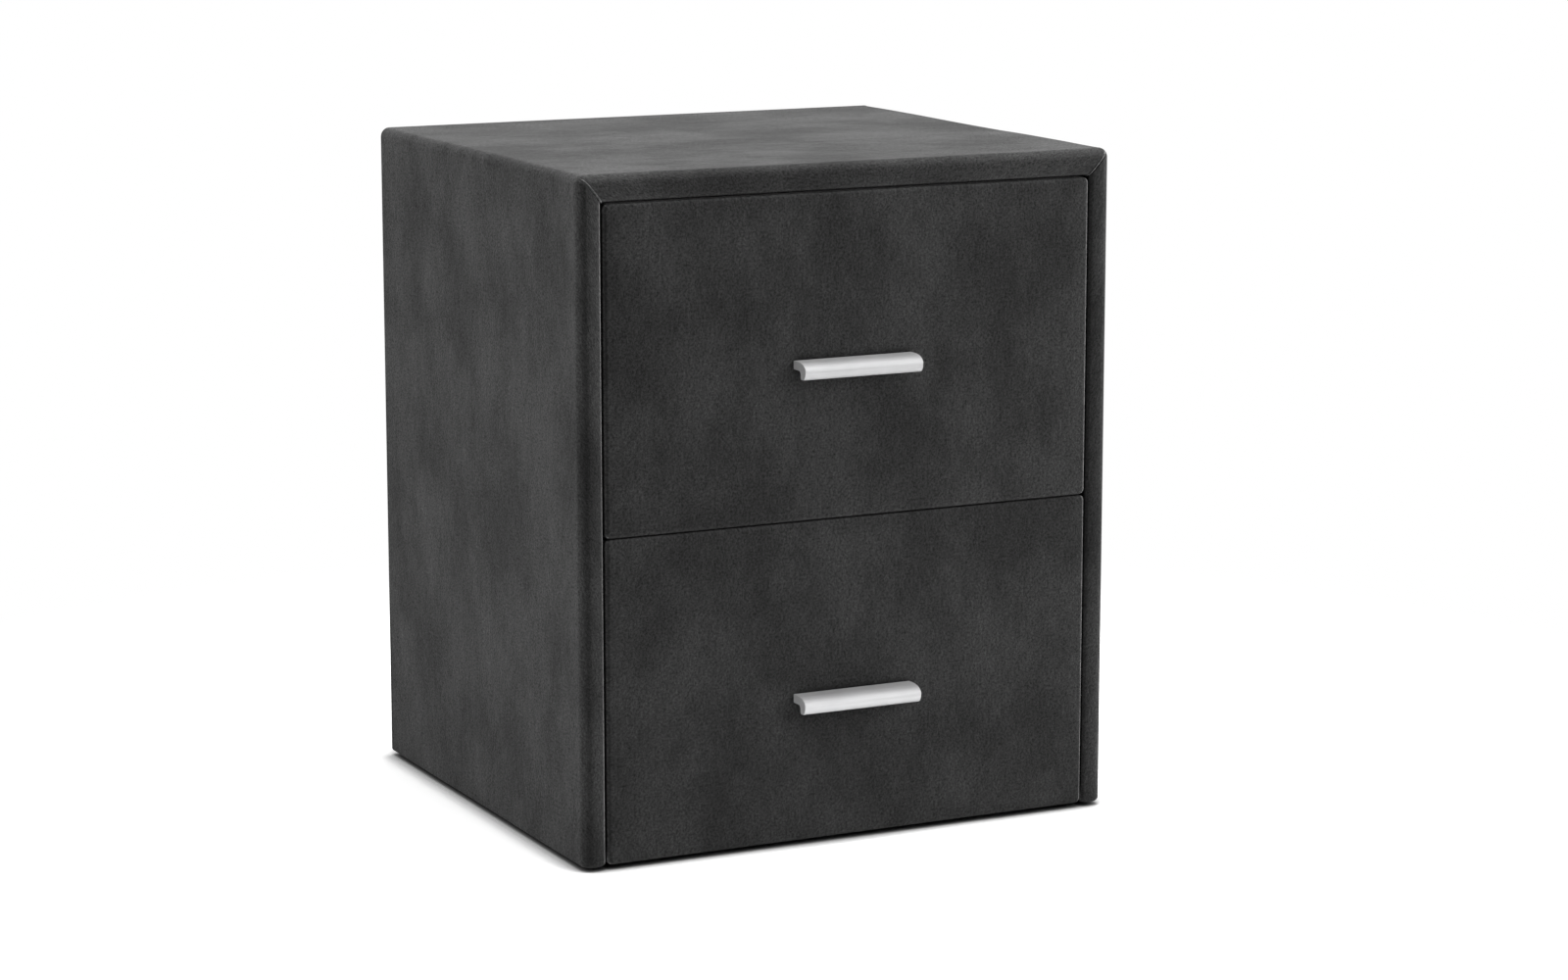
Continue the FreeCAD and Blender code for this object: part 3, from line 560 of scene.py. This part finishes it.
def front_profile(face, rear, thin=0.0):
    """(inset, depth) of each ring from the border of the face to the rim behind,
    and each ring's corner radius. The border falls away by the square of how
    near it is to the edge."""
    fold = FOLD_ROUND - thin
    border = line((thin + SWELL, face + thin), (thin + fold, face + thin), BORDER)
    border[:, 1] += FALL * (1 - (border[:, 0] - thin) / SWELL) ** 2
    drop = border[-1, 1] - face - thin
    turn = arc((thin + fold, face + thin + fold), fold, -90, -180, 11)
    turn[:, 1] += drop * np.linspace(1, 0, 11)
    soft = 1.2 * MM - min(thin, 0.8 * MM)
    wrap = join(
        border,
        turn,
        line((thin, face + thin + fold), (thin, rear - thin - soft), 7),
        arc((thin + soft, rear - thin - soft), soft, 180, 90, 5),
        line((thin + soft, rear - thin), (RIM, rear - thin), 6),
    )
    inset = wrap[:, 0] - thin
    on_border = 0.8 * MM + np.clip(inset - FOLD_ROUND, 0, 1) * 0.6
    wrapped = CORNER - thin - 0.85 * inset
    round_ = np.where(np.arange(len(wrap)) < BORDER, on_border, wrapped)
    return wrap, np.maximum(round_, 0.6 * MM)


def front_points(name, thin=0.0, until=None):
    """The cloth of one drawer front: rings shrunk in proportion from the middle
    of the face to its border, then the wrapped profile, around the front's box.
    The second grid is the same cloth before wrapping, each ring as far out as
    the cloth was walked, as (height, width)."""
    low, high = (np.array(corner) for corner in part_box(name + "_front_cover"))
    half = (high - low) / 2
    middle = (high + low) / 2
    wrap, round_ = front_profile(low[1], high[1], thin)
    wrap, round_ = wrap[:until], round_[:until]
    share = np.linspace(0, 1, MIDDLE + 1)[:-1]
    inset = wrap[0, 0]
    wide = np.concatenate([(half[0] - inset) * share, half[0] - wrap[:, 0]])
    tall = np.concatenate([(half[2] - inset) * share, half[2] - wrap[:, 0]])
    corners = np.concatenate([round_[0] * share, round_])
    x, z = ring(wide, tall, corners)
    depth = np.concatenate([np.full(MIDDLE, wrap[0, 1]), wrap[:, 1]])
    walked = np.concatenate([[0], np.cumsum(np.linalg.norm(np.diff(wrap, axis=0), axis=1))])
    out = np.concatenate([np.zeros(MIDDLE), walked + wrap[:, 0] - wrap[0, 0]])
    flat = np.stack(ring(wide + out, tall + out, corners + out), -1)
    points = np.stack([x + middle[0], depth[:, None] + 0 * x, z + middle[2]], -1)
    return points, flat[..., ::-1] + middle[2]


print("ring:", ring(0.2, 0.12, 0.0035)[0].shape[1], "points")

# %% [markdown]
# The face gets faint swells as well, which only ever go inwards, so that the
# handle still lies on the cloth. The back is open inside the rim, where the
# bare board shows.

# %% Covers and pads of the fronts
def front_cover(drawer, seed):
    """Velvet and pad of one drawer front."""
    points, cloth = front_points(drawer)
    on_face = np.clip((points[..., 1].min() + 1.5 * MM - points[..., 1]) / (1.5 * MM), 0, 1)
    waves = np.clip(swells(points[..., 0], points[..., 2], seed), -1, 1.5)
    points[..., 1] += on_face * 0.16 * MM * (1 + waves)
    depth = points[..., 1] - points[..., 1].min()
    # painted highlight on the side folds of the front, where the pile opens
    open_pile_highlight = np.clip((depth - FALL - 0.2 * MM) / (0.4 * MM), 0, 1) * (depth < FOLD_ROUND)
    sideways = np.abs(points[..., 0]) / np.abs(points[..., 0]).max()
    open_pile_highlight *= sideways > 0.99
    cover = grid_mesh(drawer + "_front_velvet", points, True, cloth, open_pile_highlight)
    give_thickness(cover, VELVET)
    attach(cover, drawer + "_drawer")
    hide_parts(drawer + "_front_cover")
    foam = front_points(drawer, VELVET + 0.3 * MM, BORDER)[0]
    made = grid_mesh(drawer + "_front_pad", foam, True)
    give_thickness(made, 1.4 * MM)
    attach(made, drawer + "_drawer")
    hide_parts(drawer + "_front_foam")
    return cover, made


upper_velvet, upper_pad = front_cover("upper", 11)
lower_velvet, lower_pad = front_cover("lower", 23)

# %% [markdown]
# ## Velvet
# Velvet is a forest of short upright fibres. Looked at straight on, light goes
# in between them and the cloth is dark; looked at across, the fibre sides
# catch the light and it turns pale. On so dark a cloth a sheen layer alone is
# too weak for that, so the sheen is painted in as well: the base colour itself
# rises with Layer Weight, which says how far a spot is turned away. The rest
# is nap: broad patches where the pile leans a little differently, short marks,
# and a grain of single tufts. Where the cloth is bent sharply, and on the
# ridge of each mitre, the pile opens, and a painted highlight makes it paler
# the further the spot is turned away. Deep in the gaps between the pieces a
# painted shade, from an occlusion node, makes it dark.

# %% Velvet material
def noise(tree, vector, scale, detail=2.0, rough=0.5):
    """A noise texture's value, from 0 to 1."""
    inputs = {"Vector": vector, "Scale": scale, "Detail": detail, "Roughness": rough}
    return add(tree, "ShaderNodeTexNoise", None, **inputs).outputs[0]


def stretch(tree, vector, factors):
    """Coordinates times a factor per direction, by a Mapping node."""
    return add(tree, "ShaderNodeMapping", None, Vector=vector, Scale=factors).outputs[0]


def velvet_material():
    """The pile's lean is a bump from clouds, marks and tufts in the cloth's own
    metres. The colour is a constant, plus a painted sheen: the square root and
    the eighth power of how far that leaning surface is turned away, plus a
    painted highlight, its square where the pile opens. Patches, marks and tufts
    scale it, and so does a painted shade from the open air around, except just
    over the floor."""
    made, tree, out = material("grey_velvet")
    cloth = add(tree, "ShaderNodeUVMap", {"uv_map": "cloth"}).outputs[0]
    clouds = noise(tree, stretch(tree, cloth, (10, 13, 1)), 1, 5, 0.6)
    strokes = noise(tree, stretch(tree, cloth, (120, 210, 1)), 1, 4, 0.75)
    tufts = noise(tree, cloth, 520, 3, 0.8)
    slow = combine(tree, "MULTIPLY_ADD", strokes, 0.06, clouds)
    lean = add(tree, "ShaderNodeBump", None, Strength=1.0, Distance=0.0032, Height=slow)
    pile = add(tree, "ShaderNodeBump", None, Strength=0.5, Distance=0.0009, Height=tufts, Normal=lean.outputs[0])
    turned = add(tree, "ShaderNodeLayerWeight", None, Blend=0.5, Normal=pile.outputs[0]).outputs["Facing"]
    # painted sheen: the base colour grows with how far the surface turns away from the view
    shade = combine(tree, "MULTIPLY_ADD", combine(tree, "POWER", turned, 0.5), 0.066, 0.0065)
    shade = combine(tree, "MULTIPLY_ADD", combine(tree, "POWER", turned, 8.0), 0.042, shade)
    # painted highlight on sharp folds and mitre ridges, where the pile opens, paler the more the spot turns away
    open_pile_highlight = add(tree, "ShaderNodeAttribute", {"attribute_name": "open_pile_highlight"}).outputs["Fac"]
    fold_highlight = combine(tree, "MULTIPLY", open_pile_highlight, combine(tree, "POWER", turned, 2.0))
    shade = combine(tree, "MULTIPLY_ADD", fold_highlight, 0.5, shade)
    marks = combine(tree, "MULTIPLY_ADD", strokes, 0.9, -1.1)
    marks = combine(tree, "MULTIPLY_ADD", tufts, 3.3, marks)
    patches = spread(tree, clouds, 0.34, 0.66, 0.77, 1.21)
    marks = combine(tree, "MULTIPLY", marks, patches)
    # painted shade: an occlusion node darkens the cloth in the gaps between the pieces, but not just over the floor
    reach = {"Distance": 0.009, "Normal": lean.outputs[0]}
    painted_gap_shade = add(tree, "ShaderNodeAmbientOcclusion", {"samples": 6}, **reach).outputs["AO"]
    painted_gap_shade = spread(tree, painted_gap_shade, 0.32, 0.82)
    height = add(tree, "ShaderNodeSeparateXYZ", None, Vector=here(tree)).outputs[2]
    at_floor = spread(tree, height, 0.018, 0.006, kind="LINEAR")
    painted_gap_shade = combine(tree, "MAXIMUM", painted_gap_shade, at_floor)
    shade = combine(tree, "MULTIPLY", combine(tree, "MULTIPLY", shade, marks), painted_gap_shade)
    colour = add(tree, "ShaderNodeCombineColor", None, _0=shade, _1=shade, _2=shade).outputs[0]
    shader = add(tree, "ShaderNodeBsdfPrincipled", None, Base_Color=colour, Normal=pile.outputs[0])
    shader.inputs["Roughness"].default_value = 0.95
    shader.inputs["Specular IOR Level"].default_value = 0.05
    shader.inputs["Sheen Weight"].default_value = 0.1
    shader.inputs["Sheen Roughness"].default_value = 0.25
    shader.inputs["Sheen Tint"].default_value = grey(1.0)
    tree.links.new(shader.outputs[0], out.inputs[0])
    return made


def dress(piece, finish):
    """Gives a new piece its material, or puts it in every slot of a frame node."""
    if not piece.data.materials:
        piece.data.materials.append(finish)
    for place in piece.material_slots:
        place.link = "DATA"
        place.material = finish


velvet = velvet_material()
for piece in (carcass_velvet, upper_velvet, lower_velvet):
    dress(piece, velvet)
print("velvet on 3 pieces,", len(velvet.node_tree.nodes), "nodes")

# %% [markdown]
# ## Foam
# Upholstery foam is a pale sponge of tiny open cells, slightly yellowed. A
# Voronoi pattern gives the cells, as colour and as bump.

# %% Foam material
def cells(tree, vector, scale):
    """Distance to the nearest of scattered points."""
    return add(tree, "ShaderNodeTexVoronoi", None, Vector=vector, Scale=scale).outputs[0]


def finish_shader(tree, out, colour, rough, bump, metallic=0.0, specular=0.5):
    """The Principled shader that ends a material's graph."""
    shader = add(tree, "ShaderNodeBsdfPrincipled", None, Base_Color=colour, Roughness=rough, Normal=bump)
    shader.inputs["Metallic"].default_value = metallic
    shader.inputs["Specular IOR Level"].default_value = specular
    tree.links.new(shader.outputs[0], out.inputs[0])
    return shader


def tint(tree, value, dark, light, start=0.3, end=0.7):
    """A colour ramp from dark to light as the value goes from start to end."""
    ramp = add(tree, "ShaderNodeValToRGB", None, Fac=value)
    for stop, place, colour in zip(ramp.color_ramp.elements, (start, end), (dark, light)):
        stop.position, stop.color = place, (*colour, 1)
    return ramp.outputs[0]


def raise_by(tree, height, distance, strength=1.0):
    """A bump of that height in metres."""
    return add(tree, "ShaderNodeBump", None, Strength=strength, Distance=distance, Height=height).outputs[0]


def between(tree, value, low, high):
    """The value from 0 to 1 spread over low to high."""
    return combine(tree, "MULTIPLY_ADD", value, high - low, low)


def foam_material():
    """Open cells of about a millimetre with a slow yellowing."""
    made, tree, out = material("open_cell_foam")
    cell = cells(tree, here(tree), 1100)
    yellowed = combine(tree, "MULTIPLY_ADD", noise(tree, here(tree), 18), 0.4, cell)
    colour = tint(tree, yellowed, (0.5, 0.45, 0.3), (0.74, 0.7, 0.54), 0.2, 1.0)
    finish_shader(tree, out, colour, between(tree, cell, 0.8, 0.98), raise_by(tree, cell, 0.0006), specular=0.2)
    return made


foam = foam_material()
for piece in (left_pad, top_pad, right_pad, upper_pad, lower_pad):
    dress(piece, foam)

# %% [markdown]
# ## Handles
# The handles are drawn aluminium bars, brushed along their length and
# anodised satin. Brushing is thousands of fine scratches in one direction, so
# the noise is stretched along the bar: it varies fast across the bar and
# slowly along it. The same pattern moves the roughness and a very low bump.

# %% Aluminium
def aluminium_material():
    """Noise drawn out along X, for scratches, and a broad one for handling marks."""
    made, tree, out = material("satin_aluminium")
    scratch = noise(tree, stretch(tree, here(tree), (14, 2600, 2600)), 1, 4, 0.7)
    worn = noise(tree, here(tree), 45, 3)
    mixed = combine(tree, "MULTIPLY_ADD", worn, 0.3, combine(tree, "MULTIPLY", scratch, 0.7))
    colour = tint(tree, mixed, (0.42, 0.42, 0.424), (0.56, 0.56, 0.565))
    mixed = combine(tree, "MULTIPLY_ADD", worn, 0.5, combine(tree, "MULTIPLY", scratch, 0.5))
    rough = between(tree, mixed, 0.58, 0.74)
    finish_shader(tree, out, colour, rough, raise_by(tree, scratch, 0.00004, 0.6), metallic=1.0)
    return made


# %% [markdown]
# ## Boards
# The carcass and drawer boxes are particle board with a dark grey laminate. It
# has a fine pressed texture, slight cloudiness, and dust and small rubs that
# make it a little shinier in places. The thin back and the drawer bottoms are
# painted hardboard with fibres showing through, the drawer fronts' backs are
# raw fibreboard, and the dowels are beech with its grain along X.

# %% Board materials
def laminate_material():
    """Fine pressed grain, clouds and rubbed spots on dark grey laminate."""
    made, tree, out = material("grey_laminate")
    fine = noise(tree, here(tree), 1500, 2, 0.6)
    cloud = noise(tree, here(tree), 9, 4, 0.6)
    mixed = combine(tree, "MULTIPLY_ADD", fine, 0.35, combine(tree, "MULTIPLY", cloud, 0.65))
    colour = tint(tree, mixed, (0.072, 0.072, 0.075), (0.105, 0.105, 0.108))
    rubbed = noise(tree, stretch(tree, here(tree), (60, 25, 60)), 1, 3, 0.7)
    finish_shader(tree, out, colour, between(tree, rubbed, 0.36, 0.6), raise_by(tree, fine, 0.00006), specular=0.4)
    return made


def hardboard_material():
    """Painted hardboard: short fibres in two directions under thin paint."""
    made, tree, out = material("painted_hardboard")
    one = noise(tree, stretch(tree, here(tree), (220, 900, 1800)), 1, 3, 0.7)
    two = noise(tree, stretch(tree, here(tree), (1800, 900, 240)), 1, 3, 0.7)
    fibre = combine(tree, "MAXIMUM", one, two)
    mixed = combine(tree, "MULTIPLY_ADD", fibre, 0.6, combine(tree, "MULTIPLY", noise(tree, here(tree), 12, 3), 0.4))
    colour = tint(tree, mixed, (0.062, 0.061, 0.06), (0.115, 0.113, 0.11), 0.4, 0.72)
    finish_shader(tree, out, colour, between(tree, fibre, 0.55, 0.8), raise_by(tree, fibre, 0.00012), specular=0.35)
    return made


def fibreboard_material():
    """Raw fibreboard: felted brown fibres with darker flecks."""
    made, tree, out = material("raw_fibreboard")
    felt = noise(tree, here(tree), 700, 4, 0.75)
    fleck = noise(tree, stretch(tree, here(tree), (300, 300, 1400)), 1, 2, 0.6)
    mixed = combine(tree, "MULTIPLY_ADD", fleck, 0.4, combine(tree, "MULTIPLY", felt, 0.6))
    colour = tint(tree, mixed, (0.24, 0.15, 0.085), (0.46, 0.33, 0.21))
    finish_shader(tree, out, colour, between(tree, felt, 0.75, 0.92), raise_by(tree, felt, 0.0001), specular=0.25)
    return made


def beech_material():
    """Beech: warm grain and short dark flecks drawn out along the dowel."""
    made, tree, out = material("beech")
    grain = noise(tree, stretch(tree, here(tree), (30, 900, 900)), 1, 4, 0.6)
    colour = tint(tree, grain, (0.42, 0.26, 0.14), (0.66, 0.47, 0.29))
    finish_shader(tree, out, colour, between(tree, grain, 0.5, 0.7), raise_by(tree, grain, 0.00008), specular=0.4)
    return made


# %% [markdown]
# ## Metal, rubber and plastic
# The slides are zinc-plated steel, which shows a faint spangle and rolling
# lines along the rails. The balls are polished, the staples are bright wire.
# The bumpers are soft rubber and the glides hard nylon, both black with a
# moulded grain.

# %% Metal and plastic materials
def plated_material():
    """Zinc plate: a crystal spangle and lines rolled along Y."""
    made, tree, out = material("zinc_plate")
    spangle = cells(tree, here(tree), 160)
    rolled = noise(tree, stretch(tree, here(tree), (1500, 12, 1500)), 1, 3, 0.6)
    mixed = combine(tree, "MULTIPLY_ADD", spangle, 0.35, combine(tree, "MULTIPLY", rolled, 0.65))
    colour = tint(tree, mixed, (0.46, 0.47, 0.49), (0.70, 0.71, 0.72), 0.2, 0.75)
    finish_shader(tree, out, colour, between(tree, mixed, 0.24, 0.5), raise_by(tree, rolled, 0.00003), metallic=1.0)
    return made


def polished_material(name, dark, light, low, high):
    """Polished steel: smoky tint and fine haze."""
    made, tree, out = material(name)
    haze = noise(tree, here(tree), 600, 3, 0.6)
    colour, rough = tint(tree, haze, dark, light), between(tree, haze, low, high)
    finish_shader(tree, out, colour, rough, raise_by(tree, haze, 0.00001), metallic=1.0)
    return made


def moulded_material(name, dark, light, low, high, scale):
    """Black moulding with a fine eroded grain, darker in its hollows."""
    made, tree, out = material(name)
    grain = noise(tree, here(tree), scale, 3, 0.7)
    colour, rough = tint(tree, grain, dark, light), between(tree, grain, low, high)
    finish_shader(tree, out, colour, rough, raise_by(tree, grain, 0.00006), specular=0.4)
    return made


# %% [markdown]
# The record that comes with the frame lists each node with its finish, and
# every node keeps its shape. So one table from finish to material dresses the
# whole frame.

# %% Dress the frame
finishes = {
    "velvet": velvet,
    "foam": foam,
    "aluminium": aluminium_material(),
    "laminate": laminate_material(),
    "hardboard": hardboard_material(),
    "fibreboard": fibreboard_material(),
    "beech": beech_material(),
    "zinc_steel": plated_material(),
    "bearing_steel": polished_material("bearing_steel_polish", (0.55, 0.55, 0.57), (0.74, 0.74, 0.76), 0.06, 0.16),
    "staple_wire": polished_material("bright_wire", (0.48, 0.48, 0.49), (0.66, 0.66, 0.67), 0.25, 0.4),
    "rubber": moulded_material("black_rubber", (0.014, 0.014, 0.014), (0.034, 0.034, 0.034), 0.7, 0.9, 900),
    "black_nylon": moulded_material("nylon_moulding", (0.016, 0.016, 0.016), (0.036, 0.036, 0.037), 0.35, 0.55, 1400),
}
for part in frame["record"]["subparts"]:
    dress(nodes[part["node"]], finishes[part["material_slot"]])
print(len(nodes), "nodes dressed with", len(finishes), "finishes")
